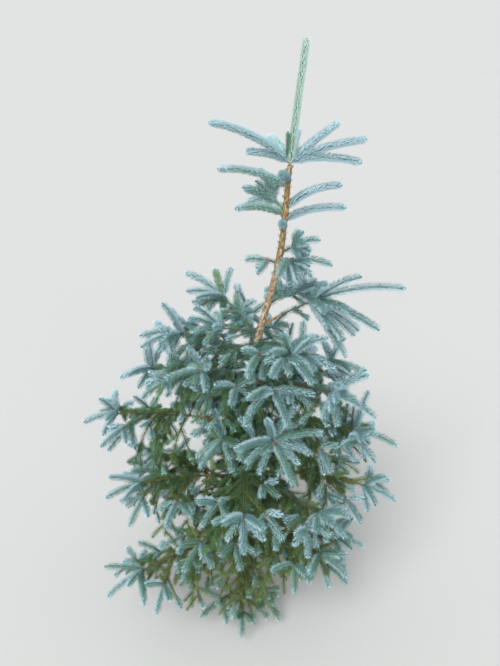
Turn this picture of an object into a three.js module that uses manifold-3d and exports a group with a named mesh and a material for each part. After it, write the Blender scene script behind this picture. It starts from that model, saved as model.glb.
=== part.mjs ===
// A young Black Hills spruce, about 1.55 m tall, rooted in level ground. The origin is the middle of the
// flat cut under its trunk, +Z is up, -Y is the side it is mostly seen from, and +X is that side's right.
// A trunk with a gentle lean carries tapering boughs. Foliage grows from the bough tips and the trunk:
// stems, side twigs and stars of this year's shoots, placed by one seeded rule that skips a twig where
// it would touch a limb or another mass.
import * as THREE from "three";
import { mergeVertices } from "three/addons/utils/BufferGeometryUtils.js";
import Module from "manifold-3d";

const wasm = await Module();
wasm.setup();

// Driving dimensions are millimetres and degrees. A bearing turns from +X towards +Y, seen from above.
const CLEARANCE = 0.3;
const MERGE_DISTANCE = 1e-3;
const GROUND_GAP = 5;

// How much nearer than its full brush a spray may come to the trunk, which its needles are cut back from.
const TRUNK_EASE = 9;

const TRUNK_HEIGHT = 1290;
const TRUNK_FOOT_RADIUS = 16.5;
const TRUNK_TIP_RADIUS = 5.8;
const FLARE_RADIUS = 9;
const FLARE_HEIGHT = 38;
const FLARE_LOBES = 5;
const FLARE_LOBE_SHARE = 0.35;
const TRUNK_SIDES = 15;
const TRUNK_RING_HEIGHTS = [0, 14, 32, 60, 110, 200, 330, 460, 590, 700, 800, 890, 980, 1070, 1170];

// How far right of the foot, and behind it, the trunk's middle is at each height.
const TRUNK_LEAN = [
  { height: 0, right: 0, back: 0 },
  { height: 300, right: -2, back: 6 },
  { height: 600, right: 4, back: 8 },
  { height: 840, right: 33, back: 4 },
  { height: 1070, right: 86, back: 0 },
  { height: 1290, right: 106, back: 3 },
];

const LIMB_BASE_RADIUS = 3.2;
const LIMB_RADIUS_PER_REACH = 0.006;
const LIMB_TIP_SHARE = 0.6;
const LIMB_SIDES = 5;
const LIMB_STEPS = 4;
const TWIG_STEPS = 6;
const BARE_SHARE = 0.42;

// The brush of needles round older wood and round one of this year's shoots: its radius, and about how
// long each of its teeth is. A tooth swells from its waist, a share of the full radius.
const OLD_BRUSH = 9.5;
const OLD_TOOTH = 62;
const SHOOT_BRUSH = 13;
const SHOOT_TOOTH = 52;
const TOOTH_WAIST = 0.6;
const TOOTH_PEAK = 0.8;
const SHOOT_WOOD = 3.2;

// Shoots fan out round a star's node. The axis of a star keeps the bearing of the twig that leads through
// it, and rises a little, or hangs in the low crown. Each shoot has an angle from the axis, and a share
// of the fan's length. Under the axis there is a gap, where the leading shoot droops: the first roll and
// the sweep of a bough's star and of the small star of a side twig. The squash keeps the shoots above and
// below the axis closer to it. Each shoot's root is sunk by its share of the root depth, and it keeps
// between two shares of its own slice of the sweep.
const ROOT_DEPTH = 9;
const ROOT_SHARES = [0.7, 1.3];
const SLICE_SHARES = [0.2, 0.8];
const FAN_ANGLE = [56, 80];
const STAR = { rise: 12, sweep: [-60, 300], angle: FAN_ANGLE };
const LOW_STAR = { rise: -26, sweep: [-60, 300], angle: FAN_ANGLE };
const SIDE_SWEEP = [-45, 270];
const FAN_SHARE = [0.75, 1.15];
const FAN_SQUASH = 0.85;
const LOW_CROWN = 560;

// Stars with a shape of their own: one that hangs to the front of its long leading shoot, and a tuft of
// steep shoots on the trunk.
const OWN_STARS = {
  right_high: { rise: 12, sweep: [110, 190], angle: [30, 72] },
  whorl_left: { rise: 42, sweep: [0, 360], angle: [14, 34] },
};
const FAN_TO_LEAD = 0.9;
const LONGEST_FAN = 150;

const LEADER_LENGTH = 266;
const LEADER_BRUSH = 10.5;
const LEADER_RISE = 83.5;
const LEADER_BEARING = 8;

// The top whorl: shoots that rise from the foot of the leader, and the dark spur beside it.
const TOP_WHORL = [
  { bearing: 166, rise: 38, length: 210, lift: -0.55 },
  { bearing: 142, rise: 16, length: 128, lift: -0.4 },
  { bearing: 34, rise: 32, length: 162, lift: -0.15 },
  { bearing: 8, rise: 24, length: 184, lift: -0.35 },
  { bearing: -16, rise: 16, length: 164, lift: -0.5 },
  { bearing: 76, rise: 34, length: 112, lift: -0.1 },
  { bearing: 108, rise: 24, length: 150, lift: -0.35 },
];
const SPUR = { bearing: 195, rise: 84, length: 66, lift: 0.3 };
const SPUR_BRUSH = 8.5;

// Single shoots on the trunk below the top whorl. Each leaves it at a height and a rise, and ends at
// its reach from the trunk's middle and the height of its tip.
const TRUNK_SHOOTS = [
  { height: 1240, bearing: 176, reach: 162, tip: 1280, rise: 36 },
  { height: 1258, bearing: -104, reach: 92, tip: 1286, rise: 26 },
  { height: 1176, bearing: -176, reach: 118, tip: 1193, rise: 34 },
  { height: 1152, bearing: -98, reach: 58, tip: 1170, rise: 24 },
  { height: 1190, bearing: 16, reach: 140, tip: 1238, rise: 46 },
  { height: 1164, bearing: -8, reach: 142, tip: 1198, rise: 34 },
];

// Boughs with a bare limb: the height and rise where each leaves the trunk, the reach and height of the
// star of shoots at its end, the length of its leading shoot and the number of shoots fanned round it.
const BOUGHS = [
  { name: "left_back", height: 715, bearing: 165, reach: 285, tip: 730, rise: 20, lead: 100, fan: 5 },
  { name: "left_wide", height: 585, bearing: 180, reach: 358, tip: 630, rise: 20, lead: 88, fan: 5 },
  { name: "left_low", height: 420, bearing: -160, reach: 298, tip: 475, rise: 22, lead: 92, fan: 5 },
  { name: "left_skirt", height: 205, bearing: -152, reach: 325, tip: 218, rise: 18, lead: 104, fan: 6 },
  { name: "front_mid", height: 630, bearing: -70, reach: 203, tip: 664, rise: 32, lead: 124, fan: 8 },
  { name: "front_low", height: 496, bearing: -90, reach: 278, tip: 505, rise: 22, lead: 88, fan: 6 },
  { name: "right_high", height: 893, bearing: -12, reach: 128, tip: 970, rise: 34, lead: 226, fan: 7 },
  { name: "right_front", height: 722, bearing: -33, reach: 248, tip: 768, rise: 24, lead: 112, fan: 6 },
  { name: "right_back_high", height: 745, bearing: 20, reach: 240, tip: 745, rise: 14, lead: 108, fan: 5 },
  { name: "right_wide", height: 585, bearing: -12, reach: 305, tip: 620, rise: 22, lead: 112, fan: 5 },
  { name: "right_mid", height: 432, bearing: -16, reach: 345, tip: 462, rise: 20, lead: 84, fan: 5 },
  { name: "right_front_low", height: 395, bearing: -48, reach: 290, tip: 468, rise: 28, lead: 88, fan: 5 },
  { name: "right_skirt", height: 250, bearing: -42, reach: 280, tip: 312, rise: 26, lead: 88, fan: 5 },
  { name: "back_left_high", height: 650, bearing: 128, reach: 262, tip: 682, rise: 24, lead: 108, fan: 5 },
  { name: "back_mid", height: 520, bearing: 95, reach: 320, tip: 545, rise: 22, lead: 100, fan: 5 },
  { name: "back_right", height: 470, bearing: 40, reach: 335, tip: 480, rise: 20, lead: 100, fan: 5 },
  { name: "back_left", height: 365, bearing: 146, reach: 338, tip: 370, rise: 20, lead: 96, fan: 4 },
  { name: "back_low", height: 245, bearing: 85, reach: 335, tip: 235, rise: 16, lead: 96, fan: 4 },
];

// Shorter or leafier boughs, whose foliage starts at the trunk itself.
const TRUNK_MASSES = [
  { name: "whorl_left", height: 1184, bearing: 134, reach: 42, tip: 1206, rise: 36, lead: 96, fan: 5 },
  { name: "neck", height: 1084, bearing: -10, reach: 38, tip: 1106, rise: 30, lead: 60, fan: 7 },
  { name: "neck_right", height: 1056, bearing: -22, reach: 32, tip: 1070, rise: 34, lead: 104, fan: 5 },
  { name: "neck_left", height: 1056, bearing: 172, reach: 28, tip: 1066, rise: 28, lead: 56, fan: 4 },
  { name: "left_top", height: 858, bearing: 146, reach: 116, tip: 950, rise: 44, lead: 124, fan: 4 },
  { name: "left_high", height: 795, bearing: 176, reach: 194, tip: 865, rise: 34, lead: 104, fan: 5 },
  { name: "left_inner", height: 735, bearing: -150, reach: 142, tip: 800, rise: 36, lead: 100, fan: 4 },
  { name: "left_front", height: 580, bearing: -122, reach: 112, tip: 605, rise: 30, lead: 104, fan: 5 },
  { name: "front_top", height: 835, bearing: -62, reach: 165, tip: 876, rise: 32, lead: 104, fan: 5 },
  { name: "front_high", height: 757, bearing: -72, reach: 165, tip: 788, rise: 32, lead: 112, fan: 6 },
  { name: "front_skirt", height: 90, bearing: -92, reach: 165, tip: 74, rise: 10, lead: 58, fan: 4 },
  { name: "right_top", height: 948, bearing: 38, reach: 106, tip: 958, rise: 20, lead: 108, fan: 5 },
  { name: "back_top", height: 800, bearing: 95, reach: 170, tip: 850, rise: 32, lead: 108, fan: 5 },
  { name: "back_right_high", height: 690, bearing: 62, reach: 250, tip: 725, rise: 24, lead: 108, fan: 5 },
  { name: "right_back_skirt", height: 170, bearing: 8, reach: 290, tip: 165, rise: 14, lead: 92, fan: 5 },
  { name: "left_front_skirt", height: 318, bearing: -124, reach: 205, tip: 330, rise: 26, lead: 84, fan: 4 },
];

// Shoots arch and droop as they grow.
const SHOOT_LIFT = -0.55;

// Each stem bears side twigs about this far apart, by turns to its left and right, which end in smaller
// stars. Their places are shares of the stem's length.
const SIDE_SPACING = 68;
const MOST_SIDES = 3;
const SIDE_FIRST = [0.12, 0.22];
const SIDE_STEP = 0.28;
const SIDE_ANGLE = [44, 54];
const SIDE_SHARE = 0.6;
const SIDE_SHARE_LOSS = 0.1;
const SIDE_LIFT = -0.1;
const SIDE_LEAD = 70;
const SIDE_FAN = 2;
const FIRST_SEED = 12;

const BARK = { color: 0x7d6a52, roughness: 0.9, metalness: 0 };
const LIMB_BARK = { color: 0x9a6f45, roughness: 0.85, metalness: 0 };
const NEEDLES = { color: 0x7d9f9c, roughness: 0.7, metalness: 0 };

const UP = new THREE.Vector3(0, 0, 1);
const FRONT = new THREE.Vector3(0, -1, 0);
const STEEP = 0.97;
const radians = THREE.MathUtils.degToRad;

// Repeatable random numbers from 0 to 1.
function seeded(seed) {
  let state = (seed * 48271) % 2147483647;
  const draw = () => {
    state = (state * 16807) % 2147483647;
    return state / 2147483647;
  };
  draw();
  return draw;
}

const between = (draw, [low, high]) => low + (high - low) * draw();

function heading(bearing, rise) {
  const level = Math.cos(radians(rise));
  return new THREE.Vector3(
    level * Math.cos(radians(bearing)),
    level * Math.sin(radians(bearing)),
    Math.sin(radians(rise)),
  );
}

const bearingOf = (along) => THREE.MathUtils.radToDeg(Math.atan2(along.y, along.x));

// A smooth curve through the stations' values of one key.
function alongLean(height, key) {
  const last = TRUNK_LEAN.length - 1;
  const slope = (i) => {
    const a = TRUNK_LEAN[Math.max(i - 1, 0)];
    const b = TRUNK_LEAN[Math.min(i + 1, last)];
    return (b[key] - a[key]) / (b.height - a.height);
  };
  let i = 0;
  while (i < last - 1 && height > TRUNK_LEAN[i + 1].height) i += 1;
  const a = TRUNK_LEAN[i];
  const b = TRUNK_LEAN[i + 1];
  const span = b.height - a.height;
  const t = (height - a.height) / span;
  const rest = 1 - t;
  return (
    rest * rest * (1 + 2 * t) * a[key] +
    t * t * (3 - 2 * t) * b[key] +
    span * t * rest * (rest * slope(i) - t * slope(i + 1))
  );
}

function trunkMiddle(height) {
  return new THREE.Vector3(alongLean(height, "right"), alongLean(height, "back"), height);
}

function trunkRadius(height, angle) {
  const taper = THREE.MathUtils.lerp(TRUNK_FOOT_RADIUS, TRUNK_TIP_RADIUS, height / TRUNK_HEIGHT);
  const flare = FLARE_RADIUS * Math.exp(-height / FLARE_HEIGHT);
  return taper + flare * (1 + FLARE_LOBE_SHARE * Math.cos(FLARE_LOBES * angle));
}

// Points of a twig that starts along a heading and turns steadily up, or down for a negative lift.
function arc(start, along, length, lift) {
  const points = [start.clone()];
  for (let i = 0; i < TWIG_STEPS; i += 1) {
    const turned = along.clone().addScaledVector(UP, (lift * (i + 0.5)) / TWIG_STEPS).normalize();
    points.push(points[i].clone().addScaledVector(turned, length / TWIG_STEPS));
  }
  return points;
}

// A bough's whole line, from the trunk's middle to the star at its end, as a bent curve of three points.
function boughCurve({ height, bearing, reach, tip, rise }) {
  const foot = trunkMiddle(height);
  const end = foot.clone().addScaledVector(heading(bearing, 0), reach);
  end.z = tip;
  const bend = foot.clone().addScaledVector(heading(bearing, rise), foot.distanceTo(end) / 2);
  return new THREE.QuadraticBezierCurve3(foot, bend, end);
}

function stretch(curve, from, to, steps) {
  return Array.from({ length: steps + 1 }, (_, i) => curve.getPoint(from + ((to - from) * i) / steps));
}

const limbRadius = (bough) => LIMB_BASE_RADIUS + LIMB_RADIUS_PER_REACH * bough.reach;

// Left and up, square to a direction. The front is the guide for one that is too steep to use up.
function crossways(along) {
  const guide = Math.abs(along.z) > STEEP ? FRONT : UP;
  const left = guide.clone().cross(along).normalize();
  return [left, along.clone().cross(left)];
}

// A direction that leaves a twig by an angle. Roll 0 is to its left and 90 above it.
function fanned(along, angle, roll, squash = 1) {
  const [left, above] = crossways(along);
  const aside = Math.sin(radians(angle));
  return along
    .clone()
    .multiplyScalar(Math.cos(radians(angle)))
    .addScaledVector(left, aside * Math.cos(radians(roll)))
    .addScaledVector(above, aside * squash * Math.sin(radians(roll)))
    .normalize();
}

// The least distance between two straight rods, each from one point to another.
function rodGap(a0, a1, b0, b1) {
  const [u, v, w] = [a1.clone().sub(a0), b1.clone().sub(b0), a0.clone().sub(b0)];
  const [uu, uv, vv, uw, vw] = [u.dot(u), u.dot(v), v.dot(v), u.dot(w), v.dot(w)];
  const spread = uu * vv - uv * uv;
  const clamp = (x) => Math.min(1, Math.max(0, x));
  let s = spread > 1e-9 ? clamp((uv * vw - vv * uw) / spread) : 0;
  const t = clamp((uv * s + vw) / vv);
  s = clamp((uv * t - uw) / uu);
  return w.addScaledVector(u, s).addScaledVector(v, -t).length();
}

// The rods of every limb and spray so far, each with its owner, so that a new twig can be tested.
class Space {
  held = [];

  hold(owner, points, radius) {
    for (let i = 1; i < points.length; i += 1) {
      this.held.push({ owner, from: points[i - 1], to: points[i], radius });
    }
  }

  isFree(owner, points, radius) {
    if (points.some((p) => p.z < radius + GROUND_GAP)) return false;
    return this.held.every((rod) => {
      if (rod.owner === owner) return true;
      const least = radius + rod.radius + CLEARANCE;
      return points.slice(1).every((p, i) => rodGap(points[i], p, rod.from, rod.to) > least);
    });
  }
}

// A closed tube with a ring of corners at each of its places, and an optional pointed end. Each ring
// takes its left from the ring before, so that a tube never twists.
function tube(rings, sides, apex) {
  let [left] = crossways(rings[0].along);
  const positions = rings.flatMap(({ middle, along, radius, phase = 0 }) => {
    left = left.clone().addScaledVector(along, -left.dot(along)).normalize();
    const above = along.clone().cross(left);
    return Array.from({ length: sides }, (_, k) => {
      const angle = phase + (2 * Math.PI * k) / sides;
      const size = typeof radius === "function" ? radius(angle) : radius;
      const [x, y] = [size * Math.cos(angle), size * Math.sin(angle)];
      return middle.clone().addScaledVector(left, x).addScaledVector(above, y);
    });
  });
  const faces = [];
  for (let r = 0; r + 1 < rings.length; r += 1) {
    for (let k = 0; k < sides; k += 1) {
      const [a, b] = [r * sides + k, r * sides + ((k + 1) % sides)];
      faces.push(a, b, b + sides, a, b + sides, a + sides);
    }
  }
  const last = (rings.length - 1) * sides;
  for (let k = 1; k + 1 < sides; k += 1) {
    faces.push(0, k + 1, k);
    if (!apex) faces.push(last, last + k, last + k + 1);
  }
  if (apex) {
    positions.push(apex);
    for (let k = 0; k < sides; k += 1) {
      faces.push(last + k, last + ((k + 1) % sides), positions.length - 1);
    }
  }
  const geometry = new THREE.BufferGeometry().setFromPoints(positions);
  geometry.setIndex(faces);
  return geometry;
}

// Where a share of the way along evenly spaced points is, and which way they run there.
function placeAlong(points, share) {
  const at = Math.min(share * (points.length - 1), points.length - 1 - 1e-6);
  const i = Math.floor(at);
  const along = points[i + 1].clone().sub(points[i]);
  return { middle: points[i].clone().addScaledVector(along, at - i), along: along.normalize() };
}

function lengthOf(points) {
  return points.slice(1).reduce((sum, point, i) => sum + point.distanceTo(points[i]), 0);
}

// The rings of one stretch of a brush: a slim waist and a full ring for each tooth, turned back by half a
// side from tooth to tooth, the way that a tube's faces slant.
function toothRings({ points, radius, tooth }, sides, waist, teethBefore) {
  const teeth = Math.max(1, Math.round(lengthOf(points) / tooth));
  return Array.from({ length: teeth }, (_, i) => {
    const phase = (-(teethBefore + i) * Math.PI) / sides;
    return [
      { ...placeAlong(points, i / teeth), radius: i ? radius * TOOTH_WAIST : waist, phase },
      { ...placeAlong(points, (i + TOOTH_PEAK) / teeth), radius, phase },
    ];
  }).flat();
}

// A brush of needles round a twig, one stretch after another, which narrows to a point at the tip.
function brush({ stretches, sides, wood }) {
  const rings = [];
  for (const part of stretches) {
    const waist = rings.length ? part.radius * TOOTH_WAIST : wood;
    rings.push(...toothRings(part, sides, waist, rings.length / 2));
  }
  return tube(rings, sides, stretches.at(-1).points.at(-1));
}

function solidOf(geometry) {
  const merged = mergeVertices(geometry, MERGE_DISTANCE);
  return new wasm.Manifold(
    new wasm.Mesh({
      numProp: 3,
      vertProperties: merged.attributes.position.array,
      triVerts: new Uint32Array(merged.index.array),
    }),
  );
}

// A solid's surface, with its corners rounded so that none is left almost touching another.
function geometryOf(solid) {
  const { vertProperties, triVerts } = solid.getMesh();
  const rounded = (x) => Math.round(x / MERGE_DISTANCE) * MERGE_DISTANCE;
  const corners = Float32Array.from(vertProperties, rounded);
  const geometry = new THREE.BufferGeometry();
  geometry.setAttribute("position", new THREE.BufferAttribute(corners, 3));
  geometry.setIndex(new THREE.BufferAttribute(new Uint32Array(triVerts), 1));
  return geometry;
}

const largestBody = (solid) => solid.decompose().reduce((a, b) => (b.volume() > a.volume() ? b : a));

// A mesh of a solid's largest body, which rounding its corners can split once more. It is placed at its
// foot: the point of the trunk's middle that it grows from.
function meshOf(name, solid, finish, foot) {
  const geometry = geometryOf(largestBody(solidOf(geometryOf(largestBody(solid)))));
  const mesh = new THREE.Mesh(geometry, new THREE.MeshStandardMaterial(finish));
  mesh.position.copy(foot).round();
  geometry.translate(-mesh.position.x, -mesh.position.y, -mesh.position.z);
  geometry.computeVertexNormals();
  mesh.name = name;
  return mesh;
}

// Whether every edge of a surface lies between just two faces, with no pair of places pinched together.
function isClosed(geometry) {
  const bare = new THREE.BufferGeometry().setAttribute("position", geometry.getAttribute("position"));
  const corners = mergeVertices(bare.setIndex(geometry.index), MERGE_DISTANCE).index.array;
  const uses = new Map();
  for (let i = 0; i < corners.length; i += 1) {
    const next = corners[i % 3 === 2 ? i - 2 : i + 1];
    const edge = `${Math.min(corners[i], next)} ${Math.max(corners[i], next)}`;
    uses.set(edge, (uses.get(edge) ?? 0) + 1);
  }
  return [...uses.values()].every((count) => count === 2);
}

const fuse = (geometries) => geometries.map(solidOf).reduce((all, next) => all.add(next));

function trunkGeometry(extra) {
  const heights = [...TRUNK_RING_HEIGHTS, TRUNK_HEIGHT];
  if (extra) heights[0] = -extra;
  return tube(
    heights.map((height) => ({
      middle: trunkMiddle(height),
      along: UP,
      radius: (angle) => trunkRadius(height, angle) + extra,
    })),
    TRUNK_SIDES,
  );
}

function growTrunk() {
  return meshOf("trunk", solidOf(trunkGeometry(0)), BARK, trunkMiddle(0));
}

// The trunk with its clearance, which limbs and stems are cut back from.
const trunkRoom = solidOf(trunkGeometry(CLEARANCE));

function growLimb(bough, curve) {
  const base = limbRadius(bough);
  const points = stretch(curve, 0, BARE_SHARE, LIMB_STEPS);
  const rings = points.map((middle, i) => ({
    middle,
    along: curve.getTangent((BARE_SHARE * i) / LIMB_STEPS),
    radius: THREE.MathUtils.lerp(base, base * LIMB_TIP_SHARE, i / LIMB_STEPS),
  }));
  const solid = solidOf(tube(rings, LIMB_SIDES)).subtract(trunkRoom);
  return meshOf(`bough_${bough.name}`, solid, LIMB_BARK, curve.v0);
}

// One mass of foliage, grown in stages so that every stem and star gets its place before the side twigs.
class Foliage {
  constructor(space, name, plan, seed = 1) {
    Object.assign(this, { space, name, plan, seed, sprays: [], draw: seeded(seed) });
    this.foot = trunkMiddle(plan.height ?? TRUNK_HEIGHT);
  }

  // Adds a spray if its place is free. The first spray of a mass is its stem, which always grows.
  add(stretches, { sides = 3, wood = SHOOT_WOOD } = {}) {
    const isFree = stretches.every(({ points, radius }) => this.space.isFree(this.name, points, radius));
    if (this.sprays.length && !isFree) return false;
    for (const { points, radius } of stretches) this.space.hold(this.name, points, radius);
    this.sprays.push({ stretches, sides, wood });
    return true;
  }

  addShoot(points) {
    return this.add([{ points, radius: SHOOT_BRUSH, tooth: SHOOT_TOOTH }]);
  }

  // Shoots fanned out round a star's node, each from its own root sunk in the twig that leads through it.
  growFan(points, count, length, { rise, sweep: [first, sweep], angle }) {
    const { middle, along } = placeAlong(points, 1);
    const axis = heading(bearingOf(along), rise);
    for (let i = 0; i < count; i += 1) {
      const depth = ROOT_DEPTH * THREE.MathUtils.lerp(...ROOT_SHARES, i / count);
      const root = middle.clone().addScaledVector(along, -depth);
      const roll = first + (sweep * (i + between(this.draw, SLICE_SHARES))) / count;
      const towards = fanned(axis, between(this.draw, angle), roll, FAN_SQUASH);
      this.addShoot(arc(root, towards, length * between(this.draw, FAN_SHARE), SHOOT_LIFT));
    }
  }

  // A twig of older wood that leads on into one of this year's shoots.
  growTwig(points, lead, wood) {
    const { middle, along } = placeAlong(points, 1);
    return this.add(
      [
        { points, radius: OLD_BRUSH, tooth: OLD_TOOTH },
        { points: arc(middle, along, lead, SHOOT_LIFT), radius: SHOOT_BRUSH, tooth: SHOOT_TOOTH },
      ],
      { wood },
    );
  }

  growStem(from) {
    const curve = boughCurve(this.plan);
    this.length = curve.getLength() * (1 - from);
    this.star = OWN_STARS[this.name] ?? (this.plan.tip > LOW_CROWN ? STAR : LOW_STAR);
    this.stem = stretch(curve, from, 1, TWIG_STEPS);
    if (from) this.stem[0].addScaledVector(curve.getTangent(from), CLEARANCE);
    this.growTwig(this.stem, this.plan.lead, limbRadius(this.plan) * LIMB_TIP_SHARE);
  }

  growStar() {
    const length = Math.min(FAN_TO_LEAD * this.plan.lead, LONGEST_FAN);
    this.growFan(this.stem, this.plan.fan, length, this.star);
  }

  // Side twigs to the left and right of the stem, each with a smaller star.
  growSides() {
    const count = Math.max(1, Math.min(MOST_SIDES, Math.round(this.length / SIDE_SPACING)));
    for (let i = 0; i < count; i += 1) {
      const { middle, along } = placeAlong(this.stem, between(this.draw, SIDE_FIRST) + SIDE_STEP * i);
      const roll = between(this.draw, (this.seed + i) % 2 ? [180, 210] : [0, -30]);
      const towards = fanned(along, between(this.draw, SIDE_ANGLE), roll);
      const twig = arc(middle, towards, this.length * (SIDE_SHARE - SIDE_SHARE_LOSS * i), SIDE_LIFT);
      if (this.growTwig(twig, SIDE_LEAD, SHOOT_WOOD)) {
        const star = { rise: this.star.rise, sweep: SIDE_SWEEP, angle: FAN_ANGLE };
        this.growFan(twig, SIDE_FAN, FAN_TO_LEAD * SIDE_LEAD, star);
      }
    }
  }

  // The sprays fused into one mesh. The last ones grown are left out where they would pinch its surface.
  mesh() {
    const parts = this.sprays.map(brush);
    let mesh;
    do {
      mesh = meshOf(`foliage_${this.name}`, fuse(parts).subtract(trunkRoom), NEEDLES, this.foot);
      parts.pop();
    } while (!isClosed(mesh.geometry));
    return mesh;
  }
}

// The leader, the whorl of shoots round its foot and the spur, on one short stem above the trunk's tip.
function growTuft(space) {
  const tuft = new Foliage(space, "leader_and_top_whorl", {});
  const foot = trunkMiddle(TRUNK_HEIGHT).addScaledVector(UP, CLEARANCE);
  const crown = foot.clone().addScaledVector(UP, ROOT_DEPTH);
  const leader = arc(foot, heading(LEADER_BEARING, LEADER_RISE), LEADER_LENGTH, 0);
  const leaderShape = { sides: 4, wood: TRUNK_TIP_RADIUS };
  tuft.add([{ points: leader, radius: LEADER_BRUSH, tooth: SHOOT_TOOTH }], leaderShape);
  for (const { bearing, rise, length, lift } of TOP_WHORL) {
    tuft.addShoot(arc(crown, heading(bearing, rise), length, lift));
  }
  const spur = arc(crown, heading(SPUR.bearing, SPUR.rise), SPUR.length, SPUR.lift);
  tuft.add([{ points: spur, radius: SPUR_BRUSH, tooth: SHOOT_TOOTH }]);
  return tuft;
}

function growTrunkShoot(space, plan, index) {
  const shoot = new Foliage(space, `trunk_shoot_${index + 1}`, plan);
  shoot.addShoot(stretch(boughCurve(plan), 0, 1, TWIG_STEPS));
  return shoot;
}

function groupOf(name, meshes) {
  const group = new THREE.Group();
  group.name = name;
  return group.add(...meshes);
}

// Claims the room of the trunk and of every bare limb, so that no foliage grows there.
function limbSpace() {
  const space = new Space();
  TRUNK_RING_HEIGHTS.slice(1).forEach((high, i) => {
    const low = TRUNK_RING_HEIGHTS[i];
    space.hold("trunk", [trunkMiddle(low), trunkMiddle(high)], trunkRadius(low, 0) - TRUNK_EASE);
  });
  for (const bough of BOUGHS) {
    const points = stretch(boughCurve(bough), 0, BARE_SHARE, LIMB_STEPS);
    space.hold(`bough_${bough.name}`, points, limbRadius(bough));
  }
  return space;
}

function growFoliage() {
  const space = limbSpace();
  const tuft = growTuft(space);
  const shoots = TRUNK_SHOOTS.map((plan, i) => growTrunkShoot(space, plan, i));
  const plans = [...BOUGHS, ...TRUNK_MASSES];
  const masses = plans.map((plan, i) => new Foliage(space, plan.name, plan, FIRST_SEED + i));
  masses.forEach((mass, i) => mass.growStem(i < BOUGHS.length ? BARE_SHARE : 0));
  for (const mass of masses) mass.growStar();
  for (const mass of masses) mass.growSides();
  return [tuft, ...shoots, ...masses].map((foliage) => foliage.mesh());
}

function growTree() {
  const boughs = BOUGHS.map((bough) => growLimb(bough, boughCurve(bough)));
  return groupOf("black_hills_spruce", [
    growTrunk(),
    groupOf("boughs", boughs),
    groupOf("foliage", growFoliage()),
  ]);
}

export default growTree();
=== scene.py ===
"""A young Black Hills spruce on a pale studio floor.

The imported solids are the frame. The rule that grew them is written again here and carried on to finer
twigs. Every twig is dressed with needles in sprays that each have one tint: closed bent blades of four
faces on this year's shoots, and folded ones of two faces on older twigs. The trunk and boughs get meshes
with a bark relief. Growth is worked out in millimetres and turned into metres when a mesh is made.
"""

import math
from collections import namedtuple

import bpy
import numpy as np
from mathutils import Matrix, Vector, noise


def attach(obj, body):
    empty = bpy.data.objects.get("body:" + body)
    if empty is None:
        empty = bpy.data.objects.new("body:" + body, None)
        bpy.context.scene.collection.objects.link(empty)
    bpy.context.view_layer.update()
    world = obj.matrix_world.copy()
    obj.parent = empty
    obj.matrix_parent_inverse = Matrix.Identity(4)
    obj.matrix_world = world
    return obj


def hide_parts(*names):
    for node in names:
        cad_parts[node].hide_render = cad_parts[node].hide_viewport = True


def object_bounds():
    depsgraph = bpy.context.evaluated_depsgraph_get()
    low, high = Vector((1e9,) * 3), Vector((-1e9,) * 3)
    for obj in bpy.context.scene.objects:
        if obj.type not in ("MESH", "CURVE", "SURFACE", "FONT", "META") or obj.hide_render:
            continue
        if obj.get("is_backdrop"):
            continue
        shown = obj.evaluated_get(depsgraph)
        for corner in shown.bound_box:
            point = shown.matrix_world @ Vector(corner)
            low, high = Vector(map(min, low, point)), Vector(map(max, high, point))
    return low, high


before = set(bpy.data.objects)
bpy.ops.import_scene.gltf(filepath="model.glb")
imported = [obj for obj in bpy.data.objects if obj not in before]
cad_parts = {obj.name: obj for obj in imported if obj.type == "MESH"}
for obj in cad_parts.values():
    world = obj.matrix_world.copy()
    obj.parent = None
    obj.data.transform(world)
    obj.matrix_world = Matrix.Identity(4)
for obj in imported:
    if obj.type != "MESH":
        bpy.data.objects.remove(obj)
cad_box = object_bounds()

MM = 0.001
UP = np.array((0.0, 0.0, 1.0))
NEARLY_UPRIGHT = 0.97
GOLDEN_ANGLE = 2.39996

# Sizes are millimetres and degrees. A bearing turns from +X towards +Y, seen from above.
CLEARANCE = 0.3
GROUND_GAP = 5
# How much nearer than its full brush a spray may come to the trunk.
TRUNK_EASE = 9

# The trunk, as in the solids.
TRUNK_HEIGHT = 1290
TRUNK_FOOT_RADIUS = 16.5
TRUNK_TIP_RADIUS = 5.8
FLARE_RADIUS = 9
FLARE_HEIGHT = 38
FLARE_LOBES = 5
FLARE_LOBE_SHARE = 0.35
TRUNK_RING_HEIGHTS = [0, 14, 32, 60, 110, 200, 330, 460, 590, 700, 800, 890, 980, 1070, 1170]
# Height, and how far right of the foot and behind it the trunk's middle is there.
TRUNK_LEAN = np.array(
    [(0, 0, 0), (300, -2, 6), (600, 4, 8), (840, 33, 4), (1070, 86, 0), (1290, 106, 3)], float
)

# The boughs, which are bare over a share of their length.
LIMB_BASE_RADIUS = 3.2
LIMB_RADIUS_PER_REACH = 0.006
LIMB_TIP_SHARE = 0.6
LIMB_STEPS = 4
BARE_SHARE = 0.42

# The radius of the brush of needles round old wood and round a new shoot.
OLD_BRUSH = 9.5
SHOOT_BRUSH = 13
TWIG_STEPS = 6
SHOOT_LIFT = -0.55

# Shoots fan out round a star's node, with their roots sunk by shares of the root depth. A star's axis
# keeps its twig's bearing and has its own rise. The sweep is the first roll and the range of rolls, and
# each shoot keeps between two shares of its slice of it. The squash flattens the fan.
Star = namedtuple("Star", "rise sweep angle")
ROOT_DEPTH = 9
ROOT_SHARES = (0.7, 1.3)
SLICE_SHARES = (0.2, 0.8)
FAN_ANGLE = (56, 80)
STAR = Star(12, (-60, 300), FAN_ANGLE)
LOW_STAR = STAR._replace(rise=-26)
OWN_STARS = {
    "right_high": Star(12, (110, 190), (30, 72)),
    "whorl_left": Star(42, (0, 360), (14, 34)),
}
LOW_CROWN = 560
FAN_SHARE = (0.75, 1.15)
FAN_SQUASH = 0.85
FAN_TO_LEAD = 0.9
LONGEST_FAN = 150

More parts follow.
